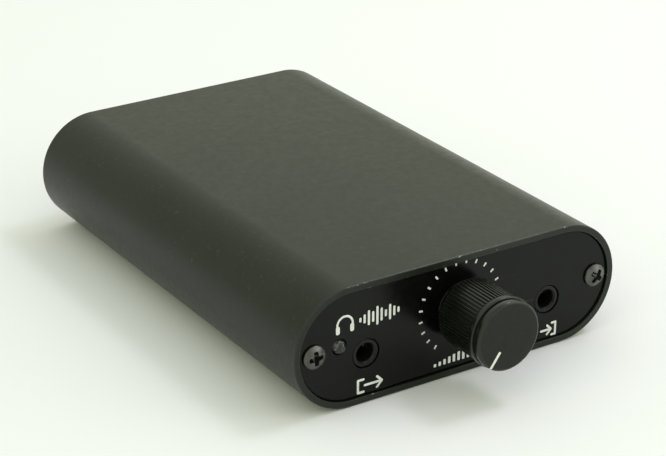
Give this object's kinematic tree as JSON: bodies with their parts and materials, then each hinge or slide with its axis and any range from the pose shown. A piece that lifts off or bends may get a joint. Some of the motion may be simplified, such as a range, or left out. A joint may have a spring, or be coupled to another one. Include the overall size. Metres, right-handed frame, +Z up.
{
  "type": "headphone amplifier",
  "caption": "Pocket headphone amplifier: round-sided black aluminium case, inset end plates, ribbed volume knob, status lamp, 3.5 mm sockets, and a slide switch and charging socket at the back.",
  "frame": {"origin": "middle of the case's flat underside, halfway between the front and back rims", "axes": "the front plate and knob face -Y, +Z is up, and +X is to the right seen from the front"},
  "size_m": [0.0774, 0.1269, 0.026],
  "materials": {
    "case_anodised": "satin black anodised extrusion",
    "plate_anodised": "satin black anodised plate, finer than the case",
    "knob_anodised": "satin black anodised, turned and ribbed",
    "white_fill": "white filling paint",
    "black_screw": "blackened steel",
    "steel": "plain steel",
    "nickel": "nickel plate",
    "jack_plastic": "black moulded plastic",
    "lamp_clear": "water-clear lamp resin, unlit",
    "black_plastic": "black moulded plastic",
    "board_green": "green solder mask",
    "chip_plastic": "black epoxy package",
    "can_sleeve": "dark blue shrink sleeve",
    "film_box": "red film capacitor box",
    "resistor_lacquer": "pale blue lacquer",
    "battery_wrap": "dark printed metal jacket, no marks",
    "foam": "closed-cell foam"
  },
  "bodies": {
    "amplifier": {"shell": "case_anodised", "front_panel": "plate_anodised", "rear_panel": "plate_anodised", "front_screw_left": "black_screw", "front_screw_right": "black_screw", "rear_screw_left": "black_screw", "rear_screw_right": "black_screw", "volume_control": "nickel", "control_washer": "nickel", "control_nut": "nickel", "output_jack": "jack_plastic", "input_jack": "jack_plastic", "status_led": "lamp_clear", "led_holder": "black_plastic", "main_board": "board_green", "amplifier_chip": "chip_plastic", "chip_socket": "black_plastic", "reservoir_capacitor_left": "can_sleeve", "reservoir_capacitor_right": "can_sleeve", "output_capacitor_left": "can_sleeve", "output_capacitor_right": "can_sleeve", "input_capacitor_left": "film_box", "input_capacitor_right": "film_box", "input_resistor_left": "resistor_lacquer", "input_resistor_right": "resistor_lacquer", "feedback_resistor_left": "resistor_lacquer", "feedback_resistor_right": "resistor_lacquer", "output_resistor_left": "resistor_lacquer", "output_resistor_right": "resistor_lacquer", "rail_splitter": "chip_plastic", "battery": "battery_wrap", "battery_clip": "black_plastic", "lower_battery_pad": "foam", "upper_battery_pad": "foam", "charge_socket": "jack_plastic", "charge_socket_pin": "nickel", "power_switch": "black_plastic"},
    "knob": {"volume_knob": "knob_anodised", "knob_pointer": "white_fill", "knob_set_screw": "steel", "volume_shaft": "steel"},
    "switch_lever": {"power_switch_lever": "black_plastic"}
  },
  "joints": [
    {"name": "volume_turn", "type": "hinge", "parent": "amplifier", "child": "knob", "pos_m": [0.0002, -0.0571, 0.0148], "axis": [0, 1, 0], "range_deg": [0, 285]},
    {"name": "power_slide", "type": "slide", "parent": "amplifier", "child": "switch_lever", "axis": [1, 0, 0], "range_m": [0, 0.003]}
  ]
}
